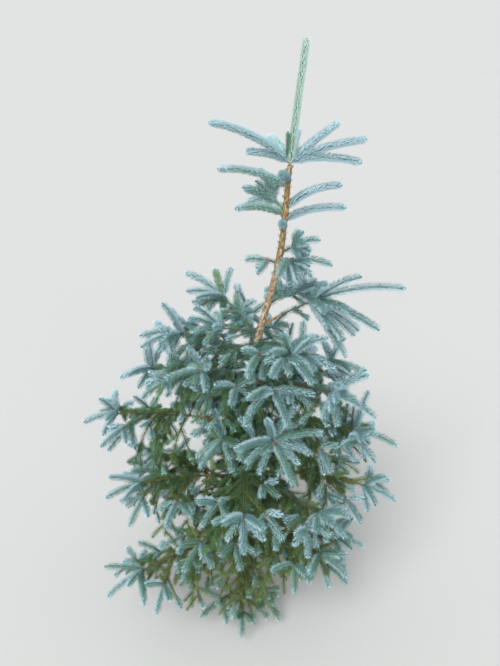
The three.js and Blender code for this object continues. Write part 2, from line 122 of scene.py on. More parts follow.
# Side twigs, by turns to the left and right of a stem, with a small star each.
SIDE_SPACING = 68
MOST_SIDES = 3
SIDE_FIRST = (0.12, 0.22)
SIDE_STEP = 0.28
SIDE_ROLLS = ((0, -30), (180, 210))
SIDE_ANGLE = (44, 54)
SIDE_SHARE = 0.6
SIDE_SHARE_LOSS = 0.1
SIDE_LIFT = -0.1
SIDE_LEAD = 70
SIDE_FAN = 2
SIDE_SWEEP = (-45, 270)

LEADER_LENGTH = 266
LEADER_BRUSH = 10.5
LEADER_RISE = 83.5
LEADER_BEARING = 8
SPUR_BRUSH = 8.5
# Bearing, rise, length, lift and brush of each shoot of the top whorl, and of the spur.
TOP_WHORL = [
    (166, 38, 210, -0.55, SHOOT_BRUSH),
    (142, 16, 128, -0.4, SHOOT_BRUSH),
    (34, 32, 162, -0.15, SHOOT_BRUSH),
    (8, 24, 184, -0.35, SHOOT_BRUSH),
    (-16, 16, 164, -0.5, SHOOT_BRUSH),
    (76, 34, 112, -0.1, SHOOT_BRUSH),
    (108, 24, 150, -0.35, SHOOT_BRUSH),
    (195, 84, 66, 0.3, SPUR_BRUSH),
]

# Height on the trunk, bearing, reach, tip height and rise of each single shoot below the whorl.
TRUNK_SHOOTS = [
    (1240, 176, 162, 1280, 36),
    (1258, -104, 92, 1286, 26),
    (1176, -176, 118, 1193, 34),
    (1152, -98, 58, 1170, 24),
    (1190, 16, 140, 1238, 46),
    (1164, -8, 142, 1198, 34),
]

# Height on the trunk, bearing, reach, tip height, rise, leading shoot and shoots in the fan.
Plan = namedtuple("Plan", "name height bearing reach tip rise lead fan")
BOUGHS = [
    Plan("left_back", 715, 165, 285, 730, 20, 100, 5),
    Plan("left_wide", 585, 180, 358, 630, 20, 88, 5),
    Plan("left_low", 420, -160, 298, 475, 22, 92, 5),
    Plan("left_skirt", 205, -152, 325, 218, 18, 104, 6),
    Plan("front_mid", 630, -70, 203, 664, 32, 124, 8),
    Plan("front_low", 496, -90, 278, 505, 22, 88, 6),
    Plan("right_high", 893, -12, 128, 970, 34, 226, 7),
    Plan("right_front", 722, -33, 248, 768, 24, 112, 6),
    Plan("right_back_high", 745, 20, 240, 745, 14, 108, 5),
    Plan("right_wide", 585, -12, 305, 620, 22, 112, 5),
    Plan("right_mid", 432, -16, 345, 462, 20, 84, 5),
    Plan("right_front_low", 395, -48, 290, 468, 28, 88, 5),
    Plan("right_skirt", 250, -42, 280, 312, 26, 88, 5),
    Plan("back_left_high", 650, 128, 262, 682, 24, 108, 5),
    Plan("back_mid", 520, 95, 320, 545, 22, 100, 5),
    Plan("back_right", 470, 40, 335, 480, 20, 100, 5),
    Plan("back_left", 365, 146, 338, 370, 20, 96, 4),
    Plan("back_low", 245, 85, 335, 235, 16, 96, 4),
]
TRUNK_MASSES = [
    Plan("whorl_left", 1184, 134, 42, 1206, 36, 96, 5),
    Plan("neck", 1084, -10, 38, 1106, 30, 60, 7),
    Plan("neck_right", 1056, -22, 32, 1070, 34, 104, 5),
    Plan("neck_left", 1056, 172, 28, 1066, 28, 56, 4),
    Plan("left_top", 858, 146, 116, 950, 44, 124, 4),
    Plan("left_high", 795, 176, 194, 865, 34, 104, 5),
    Plan("left_inner", 735, -150, 142, 800, 36, 100, 4),
    Plan("left_front", 580, -122, 112, 605, 30, 104, 5),
    Plan("front_top", 835, -62, 165, 876, 32, 104, 5),
    Plan("front_high", 757, -72, 165, 788, 32, 112, 6),
    Plan("front_skirt", 90, -92, 165, 74, 10, 58, 4),
    Plan("right_top", 948, 38, 106, 958, 20, 108, 5),
    Plan("back_top", 800, 95, 170, 850, 32, 108, 5),
    Plan("back_right_high", 690, 62, 250, 725, 24, 108, 5),
    Plan("right_back_skirt", 170, 8, 290, 165, 14, 92, 5),
    Plan("left_front_skirt", 318, -124, 205, 330, 26, 84, 4),
]
# The seed of the first mass, and what its finer twigs and its curtain add to a mass's seed.
FIRST_SEED = 12
FINER_SEEDS = 100
CURTAIN_SEEDS = 200

# Finer twigs, which only this model has, stay in the box of their mass's solid with some slack. The
# outer half of one keeps OUTER_EASE of the solids' distances, and all of it WHOLE_EASE from other masses.
FINE_BOX_SLACK = 8
OUTER_EASE = 0.55
WHOLE_EASE = 0.5
FINE_STEPS = 5
# How many shorter shoots a star gets at most, and their angle: a star of the solids, one of a mass that
# starts above HIGH_STARS, and one of a branchlet.
STAR_EXTRA = (2, (58, 86))
HIGH_STAR_EXTRA = (9, (20, 66))
BRANCHLET_STAR = (4, (58, 86))
HIGH_STARS = 850
STAR_EXTRA_SHARE = (0.55, 0.9)
STAR_EXTRA_DEPTH = 0.5
# How small twigs stand along an older one: how far apart, where in its slice of the older one the place
# of each starts and how wide it is, their rolls in turn, how far a roll may differ, and their angle.
Row = namedtuple("Row", "spacing place rolls wobble angle")
# Branchlets leave the stem, the longest first. Each ends in a star of its own, but in the low crown only
# this share of them does.
BRANCHLETS = Row(34, (0.2, 0.6), (-8, 188, 215, -35, 172, 12, 262), 24, (40, 58))
BRANCHLET_LENGTH = (0.3, 0.5)
BRANCHLET_LOSS = 0.5
BRANCHLET_LEAD = (52, 84)
LOW_BRANCHLET_STARS = 0.55
# Twiglets leave every old twig. A share of them ends in one small shoot: more of them where the mass's
# tip is above HIGH_CROWN.
TWIGLETS = Row(19, (0.3, 0.5), (-12, 192, 250, 18, 162), 30, (42, 66))
TWIGLET_LENGTH = (30, 64)
TWIGLET_LIFT = 3 * SIDE_LIFT
TWIGLET_STEPS = 4
TWIGLET_TIP = (20, 42)
HIGH_CROWN = 690
HIGH_TWIGLET_TIPS = 0.75
LOW_TWIGLET_TIPS = 0.4
# Curtains of old twigs hang from a stretch of each limb that starts below CURTAIN_TOP. They may leave
# the mass's box by some room, up to a share of the height of the limb's foot.
CURTAIN = Row(8, (0.2, 0.6), (190, -10, 215, 250, -35), 24, (40, 80))
CURTAIN_TOP = 800
CURTAIN_STRETCH = (0.12, 0.74)
CURTAIN_STEPS = 12
CURTAIN_LIFT = -1.8
CURTAIN_LENGTH = (80, 190)
CURTAIN_ROOM = 90
CURTAIN_ROOM_SHARE = 0.2
CURTAIN_TWIGLET_LIFT = CURTAIN_LIFT / 3
CURTAIN_TIPS = 0.12
# Inner twigs leave the trunk itself, shorter and shorter from low to high.
INNER_HEIGHTS = (130, 860)
INNER_COUNT = 230
INNER_RISE = (-5, 35)
INNER_REACH = (90, 210)
INNER_REACH_LOSS = 0.4
INNER_LIFT = -0.9
INNER_TIPS = 0.1
INNER_BOX = np.array((-400, -400, 0)), np.array((450, 400, 1100))

# Radii of the wood at a twig's root and tip. A shoot's include the bases of its needles, and its wood is
# painted the shaded green of those bases: painted shade that fills the gaps between the needles.
SHOOT_WOOD = (3.6, 3.0)
STEM_TIP_RADIUS = 1.8
SIDE_WOOD = (2.0, 1.4)
BRANCHLET_WOOD = (1.8, 1.3)
TWIGLET_WOOD = (1.9, 1.3)
CURTAIN_WOOD = (1.8, 1.1)
INNER_WOOD = (1.8, 1.2)
# Rings and sides of the wood of a twig, and of a fine one.
TWIG_TUBE = (8, 5)
FINE_TUBE = (4, 3)

# Needles per millimetre of twig, their length and half their width, the angles to the twig of the
# needle's root half and tip half, and how far apart their tufts are.
Needles = namedtuple("Needles", "density length width root tip tuft")
NEW_NEEDLES = Needles(2.25, 13.6, 1.15, 62, 46, 5.2)
TOP_NEEDLES = Needles(3.8, 12.6, 1.15, 66, 38, 4.8)
LEADER_NEEDLES = Needles(4.4, 15.5, 1.15, 54, 32, 2.2)
OLD_NEEDLES = Needles(1.6, 12.2, 1.05, 66, 46, 2.4)
FEWEST_NEEDLES = 6
# Needles stand up to this far from their tuft's place, as a share of the tufts' spacing.
TUFT_SPREAD = 0.2
# How far off a needle's turn round the twig is, in radians, and how much it is swept up.
NEEDLE_TURN = 0.25
NEEDLE_UPTURN = 0.22
NEEDLE_SCATTER = 0.05
NEEDLE_SIZES = (0.84, 1.1)
# How far the angles of the two halves are off, and how much the tip half tucks in as a needle closes.
ROOT_WOBBLE = 4
TIP_WOBBLE = 3
TIP_TUCK = 4
# Where the bend is along a needle, and how far out in the wood its root is.
BEND_SHARE = 0.45
ROOT_IN_WOOD = 0.8
# A shoot's needles lie closer and are shorter over its foot, and point ahead over its tip: down to these
# shares of their angles and length. They shrink by TIP_TAPER towards the tip and end LAST_REACH short.
FOOT_CLOSING = 16
FOOT_CLOSED = 0.7
FOOT_SIZE = 0.4
TIP_CLOSING = 7
TIP_CLOSED = 0.6
TIP_TAPER = 0.12
LAST_REACH = 7

# The faces of a needle, by corner (root, the two sides of its bend, tip), and which of its two paints
# each has.
CLOSED_BLADE = [((0, 1, 2), 0), ((3, 2, 1), 1), ((0, 2, 3), 1), ((0, 3, 1), 0)]
FOLDED_BLADE = CLOSED_BLADE[:2]

# The papery bud scales round each node, and the size of a small node beside others.
SCALE_COUNT = 16
SCALE_SPAN = (-6, 2)
SCALE_ROOT = 1.4
SCALE_REACH = (2.4, 4.2)
SCALE_CURL = 0.4
SCALE_WIDTH = 1.9
SMALL_NODE = 0.5

# First and last height of each stretch of the trunk and how many rings it has. The trunk swells at each
# whorl.
TRUNK_RINGS = [(0, 60, 25), (64, 996, 234), (1000, TRUNK_HEIGHT, 150)]
TRUNK_SIDES = 44
KNUCKLE_RADIUS = 1.1
KNUCKLE_SPAN = 9
# How far the bark's flakes stand out, as a share of the radius, and its grain, and how fine both are.
FLAKE_RELIEF = 0.07
FLAKE_PITCH = (0.16, 0.16, 0.07)
GRAIN_RELIEF = 0.35
GRAIN_PITCH = 0.45
# Pegs that bore needles stand on the trunk from one height up, a step apart and sunk in the bark, and
# from another height every third one still bears its needle. Their halves point this far out and up.
PEG_START = 930
PEG_STEP = 0.75
PEG_SINK = 0.6
PEG = {"sizes": (2.4, 3.8), "width": 1.3, "paint": 1}
LAST_NEEDLE = {"sizes": (8, 12), "width": 0.8, "paint": 3}
LAST_NEEDLE_START = 1090
LAST_NEEDLE_STEP = 3
PEG_ROOT_HALF = (0.75, 0.65)
PEG_TIP_HALF = (0.35, 0.93)
# A bough starts inside the trunk with a collar, which fades along it, and has a relief of its own.
BOUGH_SIDES = 12
BOUGH_STEPS = 26
BOUGH_SINK = 0.6
COLLAR_RADIUS = 1.6
COLLAR_FADE = 9
BOUGH_RELIEF = 0.12
BOUGH_PITCH = 0.2
BOUGH_SIDE_STEP = 1.7

# Pieces join masses: those that start above NECK_HEIGHT are in the top, and the others are in the upper
# or the lower crown by their tips.
NECK_HEIGHT = 1000
UPPER_CROWN = 500

# Root half and tip half of the needles in each tint, from the bluest to the greenest; the greener tints
# are darker too, as painted shade for the low, inner crown. In each, the darker root half is painted
# shade between the needles' bases, and the lighter tip half painted light on their tips.
NEW_TINTS = [
    ((105, 144, 146), (188, 217, 228)),
    ((101, 141, 137), (180, 212, 221)),
    ((97, 138, 126), (171, 206, 209)),
    ((91, 131, 110), (159, 198, 191)),
    ((83, 123, 96), (143, 183, 162)),
    ((74, 108, 75), (125, 163, 127)),
]
# A lighter tint for the last needles of each shoot: painted light on the shoot's end, where its needles
# point ahead and show their shaded sides.
PAINTED_END_LIGHT_TINT = ((117, 157, 158), (185, 217, 228))
LEADER_TINT = ((154, 187, 168), (212, 235, 225))
SPUR_TINT = ((66, 104, 67), (115, 157, 123))
SHOOT_TINTS = [*NEW_TINTS, PAINTED_END_LIGHT_TINT, LEADER_TINT, SPUR_TINT]
PAINTED_END_LIGHT, LEADER, SPUR_GREEN = range(len(NEW_TINTS), len(SHOOT_TINTS))
# The share of a shoot's needles, at its tip, that take that lighter tint of painted light.
PAINTED_END_LIGHT_SHARE = 0.14
# A shoot is bluer and lighter the higher and the further out it ends, and greener and darker low and
# inside the crown, which is painted shade; the scatter is the shoots' own spread of colour. The tints
# take up a range below BLUEST.
CROWN_REACH = 420
OUTWARD_BLUE = 0.8
BLUE_SCATTER = 0.22
BLUEST = 1.3
BLUE_RANGE = 1.1
# Old needles, from the blue-green of the upper crown to the olive of the low, inner one. In each, the
# darker root half is painted shade between the needles' bases and the lighter tip half painted light on
# their tips.
OLD_TINTS = [
    ((82, 125, 113), (120, 167, 160)),
    ((74, 113, 92), (109, 153, 130)),
    ((64, 101, 67), (103, 144, 97)),
    ((56, 87, 55), (91, 129, 83)),
    ((82, 106, 62), (125, 150, 92)),
]
OLD_TINT_HEIGHTS = (200, 950)
OLD_TINT_SCATTER = 130

# Name, colour and roughness of the paints of the twigs' wood and of the trunk's pegs.
WOOD_PAINTS = [
    ("old_wood", (112, 92, 64), 0.8),
    # The shoots' wood: painted shade, in the green of the needle bases in shade.
    ("shoot_wood", (98, 136, 132), 0.7),
    ("scale_root", (146, 98, 54), 0.7),
    ("scale_tip", (206, 154, 96), 0.7),
    ("twiglet_wood", (96, 104, 62), 0.8),
]
OLD_WOOD, SHOOT_CORE_SHADE, SCALE, _, FINE_WOOD = range(len(WOOD_PAINTS))
PEG_PAINTS = [
    ("peg_root", (78, 62, 38), 0.8),
    ("peg_tip", (178, 140, 88), 0.8),
    ("trunk_needle_root", (56, 78, 46), 0.6),
    ("trunk_needle_tip", (92, 120, 84), 0.6),
]
# Bark turns from one colour to another between two heights in metres, with pale flakes and dark specks.
Bark = namedtuple("Bark", "low high pale dark change")
TRUNK_BARK = Bark((168, 148, 122), (152, 122, 74), (202, 188, 166), (84, 66, 46), (0.98, 1.1))
BOUGH_BARK = Bark((104, 86, 64), (176, 128, 74), (150, 132, 106), (76, 58, 40), (0.4, 0.9))
# Flakes and specks: their scale, where in the pattern they start and are full, and their strength.
FLAKES = (130, 0.5, 0.62, 0.7)
SPECKS = (280, 0.5, 0.58, 0.85)
PATTERN_STRETCH = (1, 1, 0.5)
PATTERN_DETAIL = 4
BUMP = {"strength": 0.7, "distance": 0.8 * MM}
BARK_ROUGHNESS = 0.85
BARK_SPECULAR = 0.25

# How bright the studio is near the horizon and overhead, and between which heights of view it changes.
SKY = {"to_min": 0.78, "to_max": 0.62, "from_min": 0.06, "from_max": 0.25}
SKY_COLOUR = (0.975, 0.985, 0.99, 1)
FLOOR_COLOUR = (206, 207, 206)
FLOOR_SIZE = 60
# Name, strength, spread, tilt towards the viewer and turn to the side of each lamp.
LAMPS = [("softbox", 2.1, 30, 38, -22), ("fill", 1.3, 50, 70, 12)]

# The photograph's viewpoint, in metres, how far it looks down and its lens.
CAMERA_PLACE = (0.0154, -1.5, 1.55)
CAMERA_DOWN = 24.3
CAMERA_LENS = 35.03


class Draws:
    """Repeatable random numbers, the same as the solids were grown with."""

    def __init__(self, seed):
        self.state = seed * 48271 % 2147483647
        self.next()

    def next(self):
        self.state = self.state * 16807 % 2147483647
        return self.state / 2147483647

    def between(self, limits):
        return limits[0] + (limits[1] - limits[0]) * self.next()


def unit(v):
    return v / np.linalg.norm(v, axis=-1, keepdims=True)


def heading(bearing, rise):
    bearing, rise = math.radians(bearing), math.radians(rise)
    level = math.cos(rise)
    return np.array((level * math.cos(bearing), level * math.sin(bearing), math.sin(rise)))


def trunk_middle(height):
    """The trunk's middle at a height, on a smooth curve through its stations."""
    last = len(TRUNK_LEAN) - 1

    def slope(i):
        a, b = TRUNK_LEAN[max(i - 1, 0)], TRUNK_LEAN[min(i + 1, last)]
        return (b[1:] - a[1:]) / (b[0] - a[0])

    i = 0
    while i < last - 1 and height > TRUNK_LEAN[i + 1][0]:
        i += 1
    a, b = TRUNK_LEAN[i], TRUNK_LEAN[i + 1]
    span = b[0] - a[0]
    t = (height - a[0]) / span
    rest = 1 - t
    across = (
        rest * rest * (1 + 2 * t) * a[1:]
        + t * t * (3 - 2 * t) * b[1:]
        + span * t * rest * (rest * slope(i) - t * slope(i + 1))
    )
    return np.array((*across, height))


def trunk_radius(height, angle):
    taper = TRUNK_FOOT_RADIUS + (TRUNK_TIP_RADIUS - TRUNK_FOOT_RADIUS) * height / TRUNK_HEIGHT
    flare = FLARE_RADIUS * math.exp(-height / FLARE_HEIGHT)
    return taper + flare * (1 + FLARE_LOBE_SHARE * math.cos(FLARE_LOBES * angle))


def arc(start, along, length, lift, steps=TWIG_STEPS):
    """Points of a twig that turns steadily up, or down for a negative lift."""
    points = [np.array(start, float)]
    for i in range(steps):
        towards = unit(along + UP * lift * (i + 0.5) / steps)
        points.append(points[-1] + towards * length / steps)
    return np.array(points)


def arc_beyond(old, length, lift, steps):
    """Points of a shoot that carries an old twig on from its end."""
    return arc(old[-1], unit(old[-1] - old[-2]), length, lift, steps)


def bough_curve(height, bearing, reach, tip, rise):
    foot = trunk_middle(height)
    end = foot + heading(bearing, 0) * reach
    end[2] = tip
    bend = foot + heading(bearing, rise) * np.linalg.norm(end - foot) / 2
    return foot, bend, end


def planned_curve(plan):
    return bough_curve(plan.height, plan.bearing, plan.reach, plan.tip, plan.rise)


def stretch(curve, start, stop, steps):
    """Points on a curve between two shares of it."""
    foot, bend, end = curve
    t = (start + (stop - start) * np.arange(steps + 1) / steps)[:, None]
    return (1 - t) ** 2 * foot + 2 * t * (1 - t) * bend + t**2 * end


def limb_radius(reach):
    return LIMB_BASE_RADIUS + LIMB_RADIUS_PER_REACH * reach


def crossways(along):
    """Left and up, square to a direction or to each of many. Nearly upright ones have -Y for a guide."""
    guide = np.where(np.abs(along[..., 2:]) > NEARLY_UPRIGHT, np.array((0.0, -1.0, 0.0)), UP)
    left = unit(np.cross(guide, along))
    return left, np.cross(along, left)


def fanned(along, angle, roll, squash=1.0):
    """A direction that leaves a twig by an angle. Roll 0 is to its left and 90 above it."""
    left, above = crossways(along)
    angle, roll = math.radians(angle), math.radians(roll)
    aside = left * math.cos(roll) + above * squash * math.sin(roll)
    return unit(along * math.cos(angle) + aside * math.sin(angle))


def star_axis(along, rise):
    """The axis of a star, which keeps the bearing of its twig."""
    return heading(math.degrees(math.atan2(along[1], along[0])), rise)


def place_along(points, share):
    at = min(share * (len(points) - 1), len(points) - 1 - 1e-6)
    i = int(at)
    along = points[i + 1] - points[i]
    return points[i] + along * (at - i), unit(along)


def length_of(points):
    return float(np.linalg.norm(np.diff(points, axis=0), axis=1).sum())


def twigs_along(points, length, row, draw):
    """The share of the way, the root and the direction of each small twig along an older one."""
    count = int(length / row.spacing)
    start, width = row.place
    for i in range(count):
        root, along = place_along(points, (i + start + width * draw.next()) / count)
        roll = row.rolls[i % len(row.rolls)] + row.wobble * (draw.next() - 0.5)
        yield i / count, root, fanned(along, draw.between(row.angle), roll)


class Space:
    """The rods of every limb and spray so far, each with its owner, to test a new twig against."""

    def __init__(self):
        self.owners, self.starts, self.ends, self.radii = [], [], [], []
        self.arrays = None

    def hold(self, owner, points, radius):
        for a, b in zip(points[:-1], points[1:]):
            self.owners.append(owner)
            self.starts.append(a)
            self.ends.append(b)
            self.radii.append(radius)
        self.arrays = None

    def is_free(self, owner, points, radius, ease=1.0):
        """Whether a twig keeps a share of its distance from every rod of other owners."""
        if (points[:, 2] < radius + GROUND_GAP).any():
            return False
        if self.arrays is None:
            self.arrays = [np.array(x) for x in (self.owners, self.starts, self.ends, self.radii)]
        owners, starts, ends, radii = self.arrays
        low, high = points.min(axis=0) - 2 * SHOOT_BRUSH, points.max(axis=0) + 2 * SHOOT_BRUSH
        near = owners != owner
        near &= (np.maximum(starts, ends) > low).all(axis=1)
        near &= (np.minimum(starts, ends) < high).all(axis=1)
        if not near.any():
            return True
        least = ease * (radius + radii[near]) + CLEARANCE
        return all(
            (rod_gaps(a, b, starts[near], ends[near]) > least).all()
            for a, b in zip(points[:-1], points[1:])
        )


def rod_gaps(a0, a1, b0, b1):
    """The least distance between one straight rod and each of many."""
    u, v, w = a1 - a0, b1 - b0, a0 - b0
    uu, uv, vv = u @ u, v @ u, (v * v).sum(axis=1)
    uw, vw = w @ u, (v * w).sum(axis=1)
    spread = uu * vv - uv * uv
    safe = np.where(spread > 1e-9, spread, 1.0)
    s = np.where(spread > 1e-9, np.clip((uv * vw - vv * uw) / safe, 0, 1), 0.0)
    t = np.clip((uv * s + vw) / vv, 0, 1)
    s = np.clip((uv * t - uw) / uu, 0, 1)
    return np.linalg.norm(w + u * s[:, None] - v * t[:, None], axis=1)


# One twig: its points, whether its needles are new, the radii of its wood, the radius of its brush and
# whether it is one of the fine twigs.
Twig = namedtuple("Twig", "points is_new wood brush is_fine")


def old_twig(points, wood, is_fine=False):
    return Twig(points, False, wood, OLD_BRUSH, is_fine)


def new_shoot(points, brush=SHOOT_BRUSH, is_fine=False):
    return Twig(points, True, SHOOT_WOOD, brush, is_fine)


class Foliage:
    """One mass: first the twigs that its solid has, then finer ones. Its nodes bear bud scales, and
    each has a place, a direction and a size."""

    def __init__(self, space, name, plan=None, seed=1):
        self.space = space
        self.name = name
        self.plan = plan
        self.seed = seed
        self.draw = Draws(seed)
        self.twigs = []
        self.nodes = []

    def put(self, twig):
        self.space.hold(self.name, twig.points, twig.brush)
        self.twigs.append(twig)

    def add(self, *twigs):
        """Adds a shoot, or an old twig with its shoot, where it is free. A mass's first always grows."""
        free = all(self.space.is_free(self.name, twig.points, twig.brush) for twig in twigs)
        if self.twigs and not free:
            return False
        for twig in twigs:
            self.put(twig)
        return True

    def grow_fan(self, points, count, length, star):
        middle, along = place_along(points, 1)
        axis = star_axis(along, star.rise)
        first, sweep = star.sweep
        for i in range(count):
            root = middle - along * ROOT_DEPTH * np.interp(i / count, (0, 1), ROOT_SHARES)
            roll = first + sweep * (i + self.draw.between(SLICE_SHARES)) / count
            towards = fanned(axis, self.draw.between(star.angle), roll, FAN_SQUASH)
            reach = length * self.draw.between(FAN_SHARE)
            self.add(new_shoot(arc(root, towards, reach, SHOOT_LIFT)))

    def grow_twig(self, points, lead, wood):
        middle, along = place_along(points, 1)
        leading = arc(middle, along, lead, SHOOT_LIFT)
        grown = self.add(old_twig(points, wood), new_shoot(leading))
        if grown:
            self.nodes.append((middle, along, 1.0))
        return grown

    def grow_stem(self, start):
        plan = self.plan
        self.curve = planned_curve(plan)
        self.length = length_of(stretch(self.curve, 0, 1, 200)) * (1 - start)
        self.star = OWN_STARS.get(plan.name, STAR if plan.tip > LOW_CROWN else LOW_STAR)
        self.stem = stretch(self.curve, start, 1, TWIG_STEPS)
        if start:
            foot, bend, end = self.curve
            along = unit((1 - start) * (bend - foot) + start * (end - bend))
            self.stem[0] += along * CLEARANCE
        base = limb_radius(plan.reach) * LIMB_TIP_SHARE
        self.grow_twig(self.stem, plan.lead, (base, STEM_TIP_RADIUS))

    def grow_star(self):
        length = min(FAN_TO_LEAD * self.plan.lead, LONGEST_FAN)
        self.grow_fan(self.stem, self.plan.fan, length, self.star)

    def grow_sides(self):
        star = Star(self.star.rise, SIDE_SWEEP, FAN_ANGLE)
        count = max(1, min(MOST_SIDES, math.floor(self.length / SIDE_SPACING + 0.5)))
        for i in range(count):
            share = self.draw.between(SIDE_FIRST) + SIDE_STEP * i
            middle, along = place_along(self.stem, share)
            roll = self.draw.between(SIDE_ROLLS[(self.seed + i) % 2])
            towards = fanned(along, self.draw.between(SIDE_ANGLE), roll)
            length = self.length * (SIDE_SHARE - SIDE_SHARE_LOSS * i)
            twig = arc(middle, towards, length, SIDE_LIFT)
            if self.grow_twig(twig, SIDE_LEAD, SIDE_WOOD):
                self.grow_fan(twig, SIDE_FAN, FAN_TO_LEAD * SIDE_LEAD, star)

    def keep_box(self):
        """Remembers the box of this mass's solid, which the finer twigs stay in."""
        low = [t.points.min(axis=0) - t.brush for t in self.twigs]
        high = [t.points.max(axis=0) + t.brush for t in self.twigs]
        self.box = np.min(low, axis=0) - FINE_BOX_SLACK, np.max(high, axis=0) + FINE_BOX_SLACK

    def fits(self, points, brush):
        """Whether a finer twig is in the mass's box and far enough from others."""
        if (points < self.box[0] + brush).any() or (points > self.box[1] - brush).any():
            return False
        apart = self.space.is_free(None, points[len(points) // 2 :], brush, OUTER_EASE)
        return apart and self.space.is_free(self.name, points, brush, WHOLE_EASE)

    def add_fine(self, old, new, wood):
        """Adds an old twig, with the shoot at its end if it has one, where both fit."""
        whole = old if new is None else np.vstack([old, new[1:]])
        if not self.fits(whole, OLD_BRUSH if new is None else SHOOT_BRUSH):
            return False
        self.put(old_twig(old, wood, is_fine=True))
        if new is not None:
            self.put(new_shoot(new, is_fine=True))
            self.nodes.append((old[-1], unit(old[-1] - old[-2]), SMALL_NODE))
        return True

    def fill_star(self, middle, along, extra, length, draw):
        """Shorter shoots round a star, each where it has room."""
        count, angle = extra
        axis = star_axis(along, self.star.rise)
        for i in range(count):
            roll = 360 * (i + draw.next()) / count
            towards = fanned(axis, draw.between(angle), roll, FAN_SQUASH)
            root = middle - along * ROOT_DEPTH * STAR_EXTRA_DEPTH * draw.next()
            reach = length * draw.between(STAR_EXTRA_SHARE)
            shoot = arc(root, towards, reach, SHOOT_LIFT, FINE_STEPS)
            if self.fits(shoot, SHOOT_BRUSH):
                self.put(new_shoot(shoot, is_fine=True))

    def grow_branchlets(self, draw):
        """More side twigs along the stem, each with a star of its own."""
        for share, root, towards in twigs_along(self.stem, self.length, BRANCHLETS, draw):
            length = self.length * draw.between(BRANCHLET_LENGTH) * (1 - BRANCHLET_LOSS * share)
            old = arc(root, towards, length, SIDE_LIFT)
            lead = draw.between(BRANCHLET_LEAD)
            new = arc_beyond(old, lead, SHOOT_LIFT, FINE_STEPS)
            bears_star = self.plan.tip > LOW_CROWN or draw.next() < LOW_BRANCHLET_STARS
            if self.add_fine(old, new if bears_star else None, BRANCHLET_WOOD) and bears_star:
                middle, along, _ = self.nodes[-1]
                self.fill_star(middle, along, BRANCHLET_STAR, lead, draw)

    def grow_twiglets(self, points, draw, lift, tips):
        """Small twigs all along an old one, by turns to its left, its right and below it."""
        for _, root, towards in twigs_along(points, length_of(points), TWIGLETS, draw):
            old = arc(root, towards, draw.between(TWIGLET_LENGTH), lift, TWIGLET_STEPS)
            new = arc_beyond(old, draw.between(TWIGLET_TIP), lift / 2, TWIGLET_STEPS)
            self.add_fine(old, new if draw.next() < tips else None, TWIGLET_WOOD)

    def grow_curtain(self):
        """Old twigs that hang below the limb, inside the crown."""
        draw = Draws(self.seed + CURTAIN_SEEDS)
        room = min(CURTAIN_ROOM, CURTAIN_ROOM_SHARE * self.plan.height)
        self.box = self.box[0] - room, self.box[1] + room
        line = stretch(self.curve, *CURTAIN_STRETCH, CURTAIN_STEPS)
        for _, root, towards in twigs_along(line, length_of(line), CURTAIN, draw):
            hanging = arc(root, towards, draw.between(CURTAIN_LENGTH), CURTAIN_LIFT, FINE_STEPS)
            if self.add_fine(hanging, None, CURTAIN_WOOD):
                self.grow_twiglets(hanging[1:], draw, CURTAIN_TWIGLET_LIFT, CURTAIN_TIPS)

    def grow_finer(self):
        """What the solid doesn't have, apart from the curtain and the inner twigs."""
        self.keep_box()
        draw = Draws(self.seed + FINER_SEEDS)
        extra = HIGH_STAR_EXTRA if self.plan.height > HIGH_STARS else STAR_EXTRA
        for middle, along, _ in list(self.nodes):
            self.fill_star(middle, along, extra, FAN_TO_LEAD * self.plan.lead, draw)
        self.grow_branchlets(draw)
        tips = HIGH_TWIGLET_TIPS if self.plan.tip > HIGH_CROWN else LOW_TWIGLET_TIPS
        for twig in [t for t in self.twigs if not t.is_new]:
            self.grow_twiglets(twig.points, draw, TWIGLET_LIFT, tips)


def grow_inner(masses, space):
    """Old twigs that hang from the trunk inside the crown. Each goes with the mass whose foot on the
    trunk is nearest, and its twiglets may be anywhere in INNER_BOX."""
    draw = Draws(INNER_COUNT)
    low, high = INNER_HEIGHTS
    for i in range(INNER_COUNT):
        height = low + (high - low) * (i + draw.next()) / INNER_COUNT
        bearing = math.degrees(i * GOLDEN_ANGLE)
        reach = draw.between(INNER_REACH) * (1 - INNER_REACH_LOSS * (height - low) / (high - low))
        towards = heading(bearing, draw.between(INNER_RISE))
        old = arc(trunk_middle(height), towards, reach, INNER_LIFT)
        new = arc_beyond(old, draw.between(TWIGLET_TIP), INNER_LIFT / 2, TWIGLET_STEPS)
        mass = min(masses, key=lambda m: abs(m.plan.height - height))
        if space.is_free("trunk", np.vstack([old[2:], new[1:]]), OLD_BRUSH, WHOLE_EASE):
            mass.put(old_twig(old, INNER_WOOD))
            mass.put(new_shoot(new, is_fine=True))
            mass.box = INNER_BOX
            mass.grow_twiglets(old, draw, INNER_LIFT, INNER_TIPS)


def limb_space():
    """The space that the trunk and the bare limbs take up."""
    space = Space()
    for low, high in zip(TRUNK_RING_HEIGHTS[:-1], TRUNK_RING_HEIGHTS[1:]):
        rod = np.array([trunk_middle(low), trunk_middle(high)])
        space.hold("trunk", rod, trunk_radius(low, 0) - TRUNK_EASE)
    for plan in BOUGHS:
        points = stretch(planned_curve(plan), 0, BARE_SHARE, LIMB_STEPS)
        space.hold("bough_" + plan.name, points, limb_radius(plan.reach))
    return space


def grow_tuft(space):
    """The leader with the whorl and the spur round its foot."""
    tuft = Foliage(space, "leader_and_top_whorl")
    foot = trunk_middle(TRUNK_HEIGHT) + UP * CLEARANCE
    crown = foot + UP * ROOT_DEPTH
    leader = arc(foot, heading(LEADER_BEARING, LEADER_RISE), LEADER_LENGTH, 0)
    tuft.add(new_shoot(leader, LEADER_BRUSH))
    for bearing, rise, length, lift, brush in TOP_WHORL:
        tuft.add(new_shoot(arc(crown, heading(bearing, rise), length, lift), brush))
    tuft.nodes.append((crown, UP, 1.0))
    return tuft


